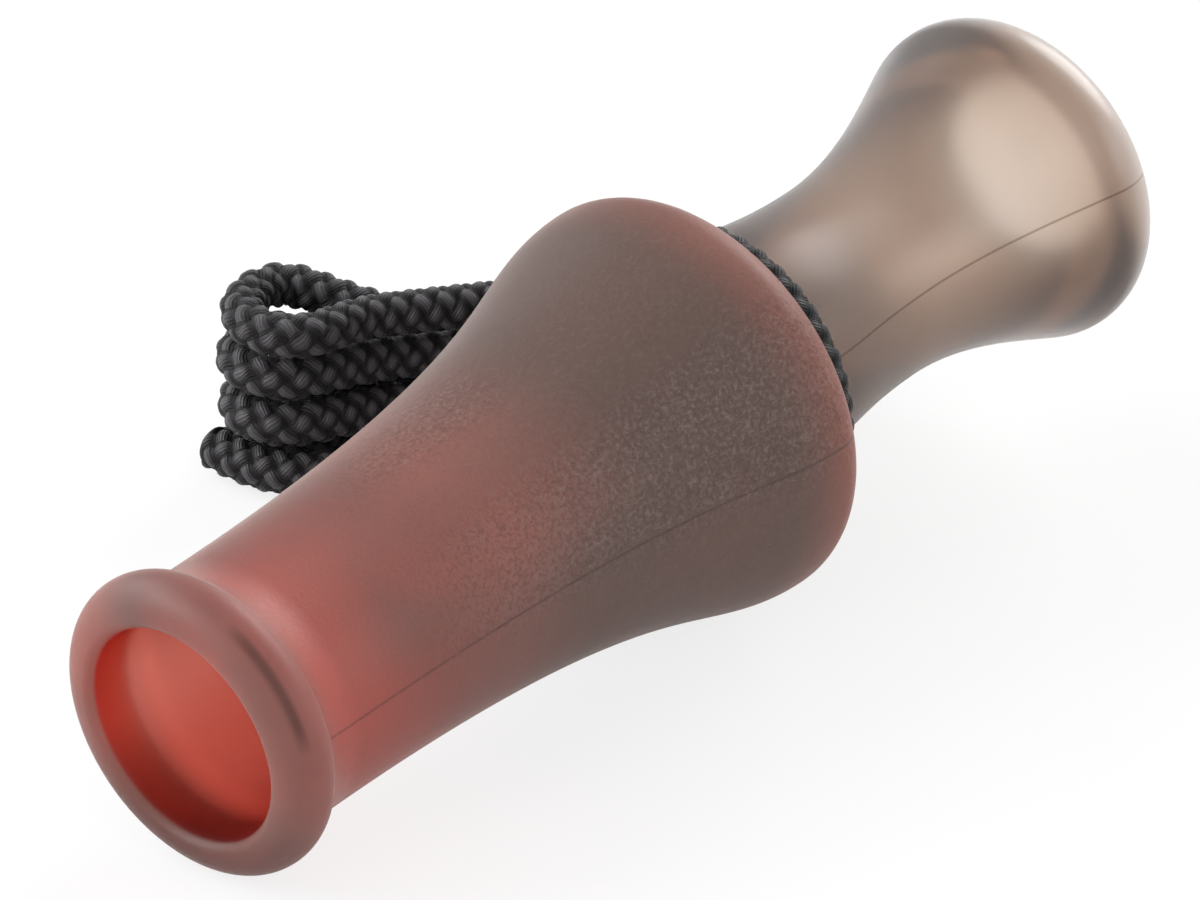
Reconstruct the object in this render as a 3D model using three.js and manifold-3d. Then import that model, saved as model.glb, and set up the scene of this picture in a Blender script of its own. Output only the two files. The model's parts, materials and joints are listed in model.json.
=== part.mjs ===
// A mouth-blown raccoon call lying on its side, with its lanyard folded into a hank behind it.
// Sizes are millimetres and +Z is up. Lengths along the call, called "at" below, start at its mouth.
// The barrel lies on its bead and its shoulder, so the call's axis rises a little towards the bell.
import * as THREE from "three";
import { mergeVertices } from "three/addons/utils/BufferGeometryUtils.js";
import Module from "manifold-3d";

// Barrel: the tube that is blown into, with a rolled bead at the mouth and a swelling shoulder
const barrelLength = 68;
const mouthRadius = 10.25;
const neckWall = 1.92;
const beadStep = 2.03;
const beadWidth = 6;
const mouthRound = 0.85;
const neckLength = 9.9;
const swellStart = 43;
const swellEnd = 9.1;
const socketRadius = 9.7;
const socketDepth = 17;
const socketLeadIn = 0.7;
const shoulderWall = 9.6;
const shoulderRound = 3.6;

// Insert: the tenon that plugs the barrel, a waist and a flared, hollow bell
const insertLength = 46;
const tenonLength = 16;
const tenonChamfer = 0.6;
const stopWidth = 0.65;
const waistFromBarrel = 19.85;
const waistWall = 5.3;
const waistStart = 6;
const waistEnd = 8;
const bellRadius = 15.6;
const rimRadius = 4.3;
const rimRing = 0.6;
const lipDepth = 2.5;
const lipStep = 0.8;
const flareAngle = THREE.MathUtils.degToRad(22);
const flareEnd = 5;
const exhaustRadius = 4.6;
const bellDepth = 40;
const bellThroat = 16;
const bellMouth = 9;

// O-rings in the tenon's two grooves
const ringSection = 1.8;
const firstRing = 4.4;
const ringSpacing = 6.6;
const grooveRoom = 0.3;

// Reed stack: a half-round tone board in the tenon's bore, the reed on it and the wedge that holds it
const tenonWall = 1.4;
const boardSeat = 14;
const boardReach = 28;
const channelWidth = 4.6;
const channelDepth = 3.6;
const channelBridge = 3.5;
const layAngle = THREE.MathUtils.degToRad(3);
const flexAhead = 1;
const reedWidth = 9;
const reedThickness = 0.35;
const reedShort = 1.5;
const wedgeLength = 10;

// Lanyard: a noose round the insert, its knot, a short lead and the hank on the table
const cordDiameter = 3.85;
const knotRadius = 3.85;
const knotLength = 6;
const knotWaist = 0.8;
const knotAngle = THREE.MathUtils.degToRad(-17);
const hankPlace = new THREE.Vector2(58.5, 42.4);
const hankHeading = THREE.MathUtils.degToRad(-36);
const hankRun = 40;
const foldRadius = 4.4;
const foldLength = 8;
const layerShifts = [1.2, -1.5, -1.6, 0.3];
const hankTail = [[-6.4, -2.1], [-4.6, -5.2], [-1.6, -8.1], [2.4, -9.2]];
const outerStart = 2.2;
const leadLeaves = 29.3;
const leadTurn = 5;
const leadHeading = THREE.MathUtils.degToRad(-160);

// Clearances
const fitGap = 0.3;
const sealGap = 0.15;
const turnGap = 0.5;
const waistGap = 1.5;
const tableGap = 0.1;

// Facets
const turnedSides = 48;
const beadSteps = 14;
const swellSteps = 16;
const cornerSteps = 5;
const waistSteps = 6;
const bellSteps = 9;
const lipSteps = 4;
const boardSteps = 12;
const ringSides = 10;
const cordSides = 8;
const nooseSteps = 36;
const wrapSteps = 6;
const leadSteps = 14;
const hankSides = 6;
const runSteps = 5;
const foldSteps = 6;

// Places along the call that several pieces share
const hankLayers = layerShifts.length;
const callLength = barrelLength + insertLength;
const tenonFront = barrelLength - tenonLength;
const tenonRadius = socketRadius - fitGap;
const collarAt = barrelLength + fitGap;
const collarRadius = socketRadius + socketLeadIn + stopWidth;
const ringRadius = socketRadius - sealGap - ringSection / 2;
const grooveRadius = ringRadius - ringSection / 2 - sealGap;
const ringPlaces = [barrelLength - firstRing, barrelLength - firstRing - ringSpacing];
const flexAt = tenonFront - flexAhead;
const boardBore = grooveRadius - tenonWall;
const boardRadius = boardBore - fitGap;
const boardTip = tenonFront - boardReach;
const boardEnd = tenonFront + boardSeat - fitGap;
const reedHeight = fitGap;
const nooseAt = collarAt + cordDiameter / 2;
const nooseRadius = collarRadius + fitGap + cordDiameter / 2;
const knotAt = collarAt + knotLength / 2;
const knotOut = collarRadius + fitGap + knotRadius;

const wasm = await Module();
wasm.setup();

// Points of an oval arc in an outline, as [at, radius]; angle 0 points out, and a quarter turn to the bell
function arc(at, radius, alongSize, acrossSize, from, to, steps) {
  return Array.from({ length: steps + 1 }, (_, i) => {
    const angle = from + ((to - from) * i) / steps;
    return [at + alongSize * Math.sin(angle), radius + acrossSize * Math.cos(angle)];
  });
}

// Points of a smooth curve in an outline, from its ends and their two handles
function curve(start, startHandle, endHandle, end, steps) {
  const corners = [start, startHandle, endHandle, end].map(([at, r]) => new THREE.Vector2(at, r));
  return new THREE.CubicBezierCurve(...corners).getPoints(steps).map((p) => [p.x, p.y]);
}

// A closed outline turned about the call's axis, with a flat between facets underneath
function turned(outline, sides = turnedSides) {
  const points = [...outline, outline[0]].map(([at, r]) => new THREE.Vector2(r, at));
  return new THREE.LatheGeometry(points, sides, Math.PI / sides).rotateZ(-Math.PI / 2);
}

// A section drawn across the call, left and up, drawn out along it
function drawnAlong(section, from, to) {
  const across = new THREE.Vector3(0, 1, 0);
  const up = new THREE.Vector3(0, 0, 1);
  const along = new THREE.Vector3(1, 0, 0);
  const settings = { depth: to - from, bevelEnabled: false, curveSegments: boardSteps };
  return new THREE.ExtrudeGeometry(section, settings)
    .applyMatrix4(new THREE.Matrix4().makeBasis(across, up, along))
    .translate(from, 0, 0);
}

// A closed geometry as a solid that can be cut, and back
function solidOf(geometry) {
  geometry.deleteAttribute("normal");
  geometry.deleteAttribute("uv");
  const welded = mergeVertices(geometry, 1e-4);
  const vertProperties = welded.attributes.position.array;
  const triVerts = new Uint32Array(welded.index.array);
  return new wasm.Manifold(new wasm.Mesh({ numProp: 3, vertProperties, triVerts }));
}

function geometryOf(solid) {
  const { vertProperties, triVerts } = solid.getMesh();
  const geometry = new THREE.BufferGeometry();
  geometry.setAttribute("position", new THREE.BufferAttribute(vertProperties, 3));
  geometry.setIndex(new THREE.BufferAttribute(triVerts, 1));
  geometry.computeVertexNormals();
  return geometry;
}

// A round cord along a curve, in even steps
function cordAlong(path, steps, sides) {
  const section = Array.from({ length: sides }, (_, i) => {
    const angle = (2 * Math.PI * i) / sides;
    return new THREE.Vector2(Math.cos(angle), Math.sin(angle)).multiplyScalar(cordDiameter / 2);
  });
  const settings = { steps, extrudePath: path, bevelEnabled: false };
  return new THREE.ExtrudeGeometry(new THREE.Shape(section), settings);
}

function piece(name, geometry, color, roughness) {
  const material = new THREE.MeshStandardMaterial({ color, roughness, metalness: 0 });
  const mesh = new THREE.Mesh(geometry, material);
  mesh.name = name;
  return mesh;
}

// The barrel's outside, from the mouth's edge over the bead, neck and shoulder to its back face
function barrelOutside() {
  const neckRadius = mouthRadius + neckWall;
  const beadMiddle = mouthRadius + mouthRound;
  const beadHeight = neckRadius + beadStep - beadMiddle;
  const mouthEdge = -Math.acos((mouthRadius - beadMiddle) / beadHeight);
  const beadFoot = Math.acos((neckRadius - beadMiddle) / beadHeight);
  const shoulderAt = barrelLength - shoulderRound;
  const shoulderRadius = socketRadius + shoulderWall;
  const bead = arc(beadWidth / 2, beadMiddle, beadWidth / 2, beadHeight, mouthEdge, beadFoot, beadSteps);
  const swell = curve(
    [neckLength, neckRadius],
    [neckLength + swellStart, neckRadius],
    [shoulderAt - swellEnd, shoulderRadius],
    [shoulderAt, shoulderRadius],
    swellSteps,
  );
  const cornerMiddle = shoulderRadius - shoulderRound;
  const corner = arc(shoulderAt, cornerMiddle, shoulderRound, shoulderRound, 0, Math.PI / 2, cornerSteps);
  return [...bead, ...swell, ...corner.slice(1)];
}

function barrelGeometry() {
  const socket = [
    [barrelLength, socketRadius + socketLeadIn],
    [barrelLength - socketLeadIn, socketRadius],
    [barrelLength - socketDepth, socketRadius],
  ];
  return turned([...barrelOutside(), ...socket]);
}

// The insert's tenon runs forwards from its collar, with a groove for each ring
function insertGeometry() {
  const grooveHalf = ringSection / 2 + grooveRoom;
  const grooves = [...ringPlaces].reverse().flatMap((at) => [
    [at - grooveHalf, tenonRadius],
    [at - grooveHalf, grooveRadius],
    [at + grooveHalf, grooveRadius],
    [at + grooveHalf, tenonRadius],
  ]);
  const tenon = [
    [tenonFront, boardBore],
    [tenonFront, tenonRadius - tenonChamfer],
    [tenonFront + tenonChamfer, tenonRadius],
    ...grooves,
    [collarAt, tenonRadius],
  ];
  const seatEnd = collarAt + cordDiameter + fitGap;
  const waistAt = barrelLength + waistFromBarrel;
  const waistRadius = exhaustRadius + waistWall;
  const neck = curve(
    [seatEnd, collarRadius],
    [seatEnd + waistStart, collarRadius],
    [waistAt - waistEnd, waistRadius],
    [waistAt, waistRadius],
    waistSteps,
  );
  const rimMiddle = bellRadius - rimRadius;
  const rimFrom = callLength - rimRadius;
  const rim = arc(rimFrom, rimMiddle, rimRadius, rimRadius, -flareAngle, Math.PI / 2, bellSteps);
  const [rimAt, rimStart] = rim[0];
  const flare = curve(
    [waistAt, waistRadius],
    [waistAt + waistEnd, waistRadius],
    [rimAt - flareEnd, rimStart - flareEnd * Math.tan(flareAngle)],
    [rimAt, rimStart],
    bellSteps,
  );
  const mouthEdge = rimMiddle - rimRing;
  const lipAt = callLength - lipDepth;
  const lip = arc(lipAt, mouthEdge, lipDepth, -lipStep, Math.PI / 2, 0, lipSteps);
  const mouth = mouthEdge - lipStep;
  const throatAt = callLength - bellDepth;
  const bell = curve(
    [lipAt, mouth],
    [lipAt - bellMouth, mouth],
    [throatAt + bellThroat, exhaustRadius],
    [throatAt, exhaustRadius],
    bellSteps,
  );
  const bore = [
    [tenonFront + boardSeat, exhaustRadius],
    [tenonFront + boardSeat, boardBore],
  ];
  const outside = [[collarAt, collarRadius], ...neck, ...flare.slice(1), ...rim.slice(1)];
  return turned([...tenon, ...outside, ...lip, ...bell.slice(1), ...bore]);
}

function ringGeometry(at) {
  const section = arc(at, ringRadius, ringSection / 2, ringSection / 2, 0, -2 * Math.PI, ringSides);
  return turned(section.slice(0, -1).reverse());
}

// The tone board: a half-round bar with a round nose, a sound channel and a lay that slopes from the reed
function toneBoardGeometry() {
  const bar = new THREE.Shape();
  bar.absarc(0, 0, boardRadius, Math.PI, 2 * Math.PI, false);
  bar.closePath();
  const spare = 1;
  const noseRadius = boardRadius + spare;
  const plan = new THREE.Shape();
  plan.moveTo(boardEnd + spare, -noseRadius);
  plan.lineTo(boardEnd + spare, noseRadius);
  plan.lineTo(boardTip + noseRadius, noseRadius);
  plan.absarc(boardTip + noseRadius, 0, noseRadius, Math.PI / 2, (3 * Math.PI) / 2, false);
  plan.closePath();
  const planSettings = { depth: 4 * boardRadius, bevelEnabled: false, curveSegments: boardSteps };
  const nose = new THREE.ExtrudeGeometry(plan, planSettings).translate(0, 0, -2 * boardRadius);
  const channel = new THREE.Shape();
  const channelHalf = channelWidth / 2;
  channel.moveTo(channelHalf, spare);
  channel.lineTo(-channelHalf, spare);
  channel.lineTo(-channelHalf, channelHalf - channelDepth);
  channel.absarc(0, channelHalf - channelDepth, channelHalf, Math.PI, 2 * Math.PI, false);
  channel.closePath();
  const lay = new THREE.Shape();
  const pastTip = boardTip - spare;
  lay.moveTo(flexAt, 0);
  lay.lineTo(flexAt, spare);
  lay.lineTo(pastTip, spare);
  lay.lineTo(pastTip, (pastTip - flexAt) * Math.tan(layAngle));
  lay.closePath();
  const laySettings = { depth: 4 * boardRadius, bevelEnabled: false };
  const slope = new THREE.ExtrudeGeometry(lay, laySettings)
    .translate(0, 0, -2 * boardRadius)
    .rotateX(Math.PI / 2);
  const board = solidOf(drawnAlong(bar, boardTip, boardEnd))
    .intersect(solidOf(nose))
    .subtract(solidOf(drawnAlong(channel, boardTip + channelBridge, boardEnd + spare)))
    .subtract(solidOf(slope));
  return geometryOf(board);
}

// The reed is one strip; its free tongue ends at the flex line, where its clamped root goes on
function reedTongueGeometry() {
  const tip = boardTip + reedShort;
  const half = reedWidth / 2;
  const plan = new THREE.Shape();
  plan.moveTo(flexAt - fitGap / 2, -half);
  plan.lineTo(flexAt - fitGap / 2, half);
  plan.lineTo(tip + half, half);
  plan.absarc(tip + half, 0, half, Math.PI / 2, (3 * Math.PI) / 2, false);
  plan.closePath();
  const settings = { depth: reedThickness, bevelEnabled: false, curveSegments: boardSteps };
  return new THREE.ExtrudeGeometry(plan, settings).translate(0, 0, reedHeight);
}

function reedRootGeometry() {
  const from = flexAt + fitGap / 2;
  const length = tenonFront + wedgeLength - from;
  return new THREE.BoxGeometry(length, reedWidth, reedThickness)
    .translate(from + length / 2, 0, reedHeight + reedThickness / 2);
}

// The wedge fills the round bore above the reed
function wedgeGeometry() {
  const under = Math.asin((reedHeight + reedThickness + fitGap) / boardRadius);
  const section = new THREE.Shape();
  section.absarc(0, 0, boardRadius, under, Math.PI - under, false);
  section.closePath();
  return drawnAlong(section, tenonFront, tenonFront + wedgeLength);
}

// The noose: straight from the knot to the round, once about the collar and straight back
function nooseGeometry() {
  const toRound = Math.acos(nooseRadius / knotOut);
  const straight = nooseRadius * Math.tan(toRound);
  const roundSteps = 24;
  const place = (angle, past) => {
    const nearKnot = ((1 + Math.cos(angle)) / 2) ** 2;
    const along = nooseAt + (knotAt - nooseAt) * nearKnot;
    const turn = knotAngle + angle;
    const across = nooseRadius * Math.cos(turn) - past * Math.sin(turn);
    const up = nooseRadius * Math.sin(turn) + past * Math.cos(turn);
    return new THREE.Vector3(along, across, up);
  };
  const reach = straight - knotRadius - fitGap;
  const points = Array.from({ length: roundSteps + 1 }, (_, i) => {
    return place(toRound + ((2 * Math.PI - 2 * toRound) * i) / roundSteps, 0);
  });
  points.unshift(place(toRound, -reach), place(toRound, -reach / 2));
  points.push(place(-toRound, reach / 2), place(-toRound, reach));
  return cordAlong(new THREE.CatmullRomCurve3(points), nooseSteps, cordSides);
}

// The knot: two wraps of cord about the lead
function knotGeometry() {
  const wraps = 2;
  const steps = wraps * wrapSteps;
  const outside = Array.from({ length: steps + 1 }, (_, i) => {
    const hollow = Math.cos((Math.PI * wraps * i) / steps) ** 2;
    return [knotLength * (i / steps - 0.5), knotRadius - knotWaist * hollow];
  });
  const ends = [[knotLength / 2, 0], [-knotLength / 2, 0]];
  return turned([...outside, ...ends], cordSides * 2);
}

// A place in the hank: along its runs, across them, and on a layer, each layer a little to one side
function hankPoint(along, across, layer) {
  const below = Math.floor(layer);
  const above = Math.ceil(layer);
  const shift = THREE.MathUtils.lerp(layerShifts[below], layerShifts[above], layer - below);
  const flat = new THREE.Vector2(along, across + shift).rotateAround(new THREE.Vector2(), hankHeading);
  const height = tableGap + cordDiameter / 2 + layer * (cordDiameter + turnGap);
  return new THREE.Vector3(hankPlace.x + flat.x, hankPlace.y + flat.y, height);
}

// Half the width between a loop's two runs, which draw in to the waist over a short way from each fold
function halfWidth(share) {
  const waist = (cordDiameter + waistGap) / 2;
  const fromFold = Math.min(share, 1 - share) * hankRun;
  const drawnIn = Math.min(fromFold / foldLength, 1);
  return waist + (foldRadius - waist) * Math.cos((Math.PI / 2) * drawnIn) ** 2;
}

// The hank starts at the cord's cut end, goes once round on the table, then runs to and fro and climbs
// a layer on each far run
function hankPoints() {
  const points = hankTail.map(([along, across]) => hankPoint(along, across, 0));
  const runShares = Array.from({ length: runSteps }, (_, i) => (i + 1) / (runSteps + 1));
  const foldAngles = Array.from({ length: foldSteps + 1 }, (_, i) => Math.PI * (i / foldSteps - 0.5));
  const drawnIn = (share) => halfWidth(Math.min(share, 0.5));
  const fold = (end, layer, radius, middle) => {
    const out = end < hankRun ? -1 : 1;
    const place = (angle) => [end + out * radius * Math.cos(angle), middle + out * radius * Math.sin(angle)];
    points.push(...foldAngles.map((angle) => hankPoint(...place(angle), layer)));
  };
  const run = (from, across, layer) => {
    const onRun = runShares.filter((share) => share * hankRun > from);
    points.push(...onRun.map((share) => hankPoint(share * hankRun, -across(share), layer)));
  };
  const besideLoop = cordDiameter + 2 * turnGap;
  const outerRadius = foldRadius + besideLoop;
  const outerIn = halfWidth(0.5) + besideLoop;
  run(hankTail.at(-1)[0] + cordDiameter, () => outerRadius, 0);
  fold(hankRun, 0, outerRadius, 0);
  const outerRun = runShares.map((share) => hankPoint((1 - share) * hankRun, drawnIn(share) + besideLoop, 0));
  points.push(...outerRun);
  fold(outerStart, 0, (outerIn + halfWidth(0.5)) / 2, (outerIn - halfWidth(0.5)) / 2);
  for (let layer = 0; layer < hankLayers - 1; layer++) {
    run(layer > 0 ? 0 : outerStart + cordDiameter, halfWidth, layer);
    fold(hankRun, layer, foldRadius, 0);
    const farRun = runShares.map((share) => {
      const climb = layer + THREE.MathUtils.smoothstep(share, 0, 1);
      return hankPoint((1 - share) * hankRun, halfWidth(share), climb);
    });
    points.push(...farRun);
    fold(0, layer + 1, foldRadius, 0);
  }
  const toLead = runShares.filter((share) => share * hankRun < leadLeaves - 2 * cordDiameter);
  points.push(...toLead.map((share) => hankPoint(share * hankRun, -drawnIn(share), hankLayers - 1)));
  points.push(hankPoint(leadLeaves - cordDiameter, -halfWidth(0.5), hankLayers - 1));
  points.push(hankPoint(leadLeaves, -halfWidth(0.5), hankLayers - 1));
  return points;
}

// The hank as one unbroken tube: a ring of points about each place on its route, and a fan on each end
function hankGeometry() {
  const places = hankPoints();
  const path = new THREE.CatmullRomCurve3(places);
  const last = places.length - 1;
  const positions = [];
  const triangles = [];
  const side = new THREE.Vector3(0, 0, 1);
  places.forEach((place, i) => {
    const tangent = path.getTangent(i / last);
    side.addScaledVector(tangent, -side.dot(tangent)).normalize();
    const other = tangent.clone().cross(side);
    for (let k = 0; k < hankSides; k++) {
      const angle = (2 * Math.PI * k) / hankSides;
      const ring = place.clone().addScaledVector(side, Math.cos(angle) * (cordDiameter / 2));
      positions.push(...ring.addScaledVector(other, Math.sin(angle) * (cordDiameter / 2)));
      const here = i * hankSides + k;
      const beside = i * hankSides + ((k + 1) % hankSides);
      const wall = [here, beside, here + hankSides, here + hankSides, beside, beside + hankSides];
      if (i < last) triangles.push(...wall);
    }
  });
  for (let k = 1; k < hankSides - 1; k++) {
    const end = last * hankSides;
    triangles.push(0, k + 1, k, end, end + k, end + k + 1);
  }
  const geometry = new THREE.BufferGeometry();
  geometry.setAttribute("position", new THREE.Float32BufferAttribute(positions, 3));
  geometry.setIndex(triangles);
  geometry.computeVertexNormals();
  reportGap(path);
  return geometry;
}

// Prints how close the hank's cord comes to itself, apart from the stretch next to each point
function reportGap(path) {
  const count = 400;
  const places = path.getSpacedPoints(count);
  const apart = Math.ceil((3 * cordDiameter * count) / path.getLength());
  let least = Infinity;
  for (let i = 0; i < places.length; i++) {
    for (let j = i + apart; j < places.length; j++) {
      least = Math.min(least, places[i].distanceTo(places[j]) - cordDiameter);
    }
  }
  console.log(`hank: ${path.getLength().toFixed(0)} mm of cord, least gap to itself ${least.toFixed(2)} mm`);
}

// The lead: straight on from the hank's top run, then round to the knot's back face
function leadCurve(knotFace, straightOut) {
  const layer = hankLayers - 1;
  const across = -halfWidth(0.5);
  const turnStarts = leadLeaves + fitGap + cordDiameter / 2;
  const middle = hankPoint(turnStarts, across - leadTurn, layer);
  const turn = Array.from({ length: foldSteps }, (_, i) => {
    const heading = THREE.MathUtils.lerp(hankHeading, leadHeading, i / (foldSteps - 1));
    const side = new THREE.Vector3(-Math.sin(heading), Math.cos(heading), 0);
    return middle.clone().addScaledVector(side, leadTurn);
  });
  const run = hankPoint(leadLeaves + fitGap, across, layer);
  return new THREE.CatmullRomCurve3([run, ...turn, straightOut, knotFace]);
}

// The tilt at which the barrel's bead and shoulder both touch the table
function restingTilt(outline) {
  let tilt = 0;
  for (let pass = 0; pass < 4; pass++) {
    const reach = ([at, radius]) => radius * Math.cos(tilt) - at * Math.sin(tilt);
    const lowest = (side) => side.reduce((best, p) => (reach(p) > reach(best) ? p : best));
    const front = lowest(outline.filter(([at]) => at < barrelLength / 2));
    const back = lowest(outline.filter(([at]) => at > barrelLength / 2));
    tilt = Math.atan2(back[1] - front[1], back[0] - front[0]);
  }
  return tilt;
}

const redSmoke = 0x8a4f48;
const smoke = 0x8d7b70;
const black = 0x242225;

const call = new THREE.Group();
call.add(
  piece("barrel", barrelGeometry(), redSmoke, 0.55),
  piece("bell_insert", insertGeometry(), smoke, 0.4),
  piece("tone_board", toneBoardGeometry(), 0x3a3634, 0.5),
  piece("reed_tongue", reedTongueGeometry(), 0xd8d6cc, 0.35),
  piece("reed_root", reedRootGeometry(), 0xd8d6cc, 0.35),
  piece("wedge", wedgeGeometry(), 0xb48a5a, 0.85),
  piece("lanyard_noose", nooseGeometry(), black, 0.85),
);
ringPlaces.forEach((at, i) => {
  call.add(piece(i === 0 ? "o_ring_rear" : "o_ring_front", ringGeometry(at), 0x1a1a1a, 0.6));
});
const knot = piece("lanyard_knot", knotGeometry(), black, 0.85);
knot.position.set(knotAt, knotOut * Math.cos(knotAngle), knotOut * Math.sin(knotAngle));
call.add(knot);

// The call is tilted, then raised until its barrel touches the table
call.rotation.y = -restingTilt(barrelOutside());
call.updateMatrixWorld(true);
call.position.z = -new THREE.Box3().setFromObject(call.getObjectByName("barrel"), true).min.z;
call.updateMatrixWorld(true);

const knotFace = knot.localToWorld(new THREE.Vector3(knotLength / 2 + fitGap, 0, 0));
const straightOut = knot.localToWorld(new THREE.Vector3(knotLength / 2 + fitGap + cordDiameter / 2, 0, 0));
const table = new THREE.Group();
table.add(
  call,
  piece("lanyard_lead", cordAlong(leadCurve(knotFace, straightOut), leadSteps, cordSides), black, 0.85),
  piece("lanyard_hank", hankGeometry(), black, 0.85),
);

// The origin is on the table under the middle of the call without its lanyard
const extent = new THREE.Box3();
["barrel", "bell_insert"].forEach((name) => extent.expandByObject(call.getObjectByName(name), true));
const middle = extent.getCenter(new THREE.Vector3());
table.position.set(-middle.x, -middle.y, 0);

const raccoonCall = new THREE.Group();
raccoonCall.add(table);

export default raccoonCall;
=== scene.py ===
import json
import math

import bmesh
import bpy
from mathutils import Matrix, Vector, noise


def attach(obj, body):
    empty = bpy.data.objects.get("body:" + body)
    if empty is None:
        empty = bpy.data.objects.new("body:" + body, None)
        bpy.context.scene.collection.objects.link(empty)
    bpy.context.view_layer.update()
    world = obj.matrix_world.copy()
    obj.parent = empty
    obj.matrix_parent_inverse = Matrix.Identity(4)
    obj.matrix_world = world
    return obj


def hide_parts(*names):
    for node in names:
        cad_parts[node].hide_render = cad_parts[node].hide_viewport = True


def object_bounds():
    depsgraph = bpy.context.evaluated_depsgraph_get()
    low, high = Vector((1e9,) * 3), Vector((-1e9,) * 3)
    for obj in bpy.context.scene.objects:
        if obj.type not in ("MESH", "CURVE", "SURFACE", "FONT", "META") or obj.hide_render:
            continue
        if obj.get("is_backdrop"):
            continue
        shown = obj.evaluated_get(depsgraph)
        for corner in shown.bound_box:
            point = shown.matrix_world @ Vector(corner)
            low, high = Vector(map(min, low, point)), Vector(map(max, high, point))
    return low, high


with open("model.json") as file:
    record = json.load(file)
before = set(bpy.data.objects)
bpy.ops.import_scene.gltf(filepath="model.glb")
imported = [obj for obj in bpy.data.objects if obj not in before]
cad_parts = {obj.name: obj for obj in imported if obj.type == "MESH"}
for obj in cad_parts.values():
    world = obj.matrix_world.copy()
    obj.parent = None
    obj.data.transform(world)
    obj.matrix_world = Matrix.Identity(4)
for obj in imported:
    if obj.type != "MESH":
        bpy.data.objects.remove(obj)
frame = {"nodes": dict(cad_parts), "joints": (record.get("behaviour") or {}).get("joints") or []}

cad_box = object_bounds()

# Barrel: the tube that is blown into, one moulding in frosted, red-smoke plastic with a rolled
# bead for the lips, a short neck and a swelling body. The mould's halves met along its sides and
# left a fine line. Sizes are in millimetres, and places along the call start at its mouth.
MM = 0.001
barrel_length = 68
bead_width = 6
bead_middle = 11.1
bead_height = 3.1
lip_depth = 1.6
lip_step = 1.1
neck_radius = 12.17
neck_length = 9.9
swell_start = 43
swell_end = 9.1
shoulder_radius = 19.3
shoulder_round = 3.6
socket_radius = 9.7
socket_depth = 17
socket_lead_in = 0.7
barrel_parting = math.radians(-82.3)
barrel_ior = 1.4
turn_steps = 192
quarter_turn = math.pi / 2
twist = next(joint for joint in frame["joints"] if joint["name"] == "insert_twist")
call_axis = Vector(twist["axis"])
mouth_place = Vector(twist["pos_m"]) - call_axis * barrel_length * MM
call_turn = Matrix.Rotation(-math.asin(call_axis.z), 4, "Y")
to_table = Matrix.Translation(mouth_place) @ call_turn


def bow(middle, reach, turn, steps):
    """Places on an oval arc in a turned outline; a turn of 0 points out from the axis."""
    (at, radius), (along, across), (start, stop) = middle, reach, turn
    angles = [start + (stop - start) * i / steps for i in range(steps + 1)]
    return [(at + along * math.sin(a), radius + across * math.cos(a)) for a in angles]


def sweep_line(start, leaving, arriving, stop, steps):
    """Places on a smooth line in a turned outline, from its ends and their handles."""
    line = []
    for i in range(steps + 1):
        s = i / steps
        weights = ((1 - s) ** 3, 3 * s * (1 - s) ** 2, 3 * s * s * (1 - s), s ** 3)
        pulls = list(zip(weights, (start, leaving, arriving, stop)))
        line.append(tuple(sum(weight * place[k] for weight, place in pulls) for k in (0, 1)))
    return line


def finished(name, mesh):
    """A piece from a mesh, with its place in the mesh."""
    for face in mesh.faces:
        face.smooth = True
    data = bpy.data.meshes.new(name)
    mesh.to_mesh(data)
    mesh.free()
    piece = bpy.data.objects.new(name, data)
    bpy.context.scene.collection.objects.link(piece)
    return piece


def turned_piece(name, outline):
    """A closed outline turned about the call's axis."""
    mesh = bmesh.new()
    verts = [mesh.verts.new((at * MM, 0, radius * MM)) for at, radius in outline]
    edges = [mesh.edges.new(pair) for pair in zip(verts, verts[1:] + verts[:1])]
    whole_turn = {"cent": (0, 0, 0), "axis": (1, 0, 0), "angle": math.tau, "steps": turn_steps}
    bmesh.ops.spin(mesh, geom=verts + edges, use_merge=True, **whole_turn)
    bmesh.ops.remove_doubles(mesh, verts=mesh.verts, dist=1e-7)
    bmesh.ops.recalc_face_normals(mesh, faces=mesh.faces)
    bmesh.ops.transform(mesh, matrix=to_table, verts=mesh.verts)
    return finished(name, mesh)


shoulder_at = barrel_length - shoulder_round
shoulder_middle = shoulder_radius - shoulder_round
bead_half = bead_width / 2
bead_foot = math.acos((neck_radius - bead_middle) / bead_height)
socket_front = barrel_length - socket_depth
bore_widens = bead_middle - lip_step - socket_radius
bore_steps = 24
barrel_outline = [
    *bow((lip_depth, bead_middle), (lip_depth, -lip_step), (0, -quarter_turn), steps=12),
    *bow((bead_half, bead_middle), (bead_half, bead_height), (-quarter_turn, bead_foot), steps=40)[1:],
    *sweep_line(
        (neck_length, neck_radius),
        (neck_length + swell_start, neck_radius),
        (shoulder_at - swell_end, shoulder_radius),
        (shoulder_at, shoulder_radius),
        steps=60,
    ),
    *bow((shoulder_at, shoulder_middle), (shoulder_round, shoulder_round), (0, quarter_turn), steps=14)[1:],
    (barrel_length, socket_radius + socket_lead_in),
    (barrel_length - socket_lead_in, socket_radius),
    (socket_front, socket_radius),
]
for i in range(1, bore_steps):
    share = i / bore_steps
    at = socket_front + (bead_half - socket_front) * share
    barrel_outline.append((at, socket_radius + bore_widens * share))
barrel = turned_piece("barrel_shell", barrel_outline)


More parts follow.
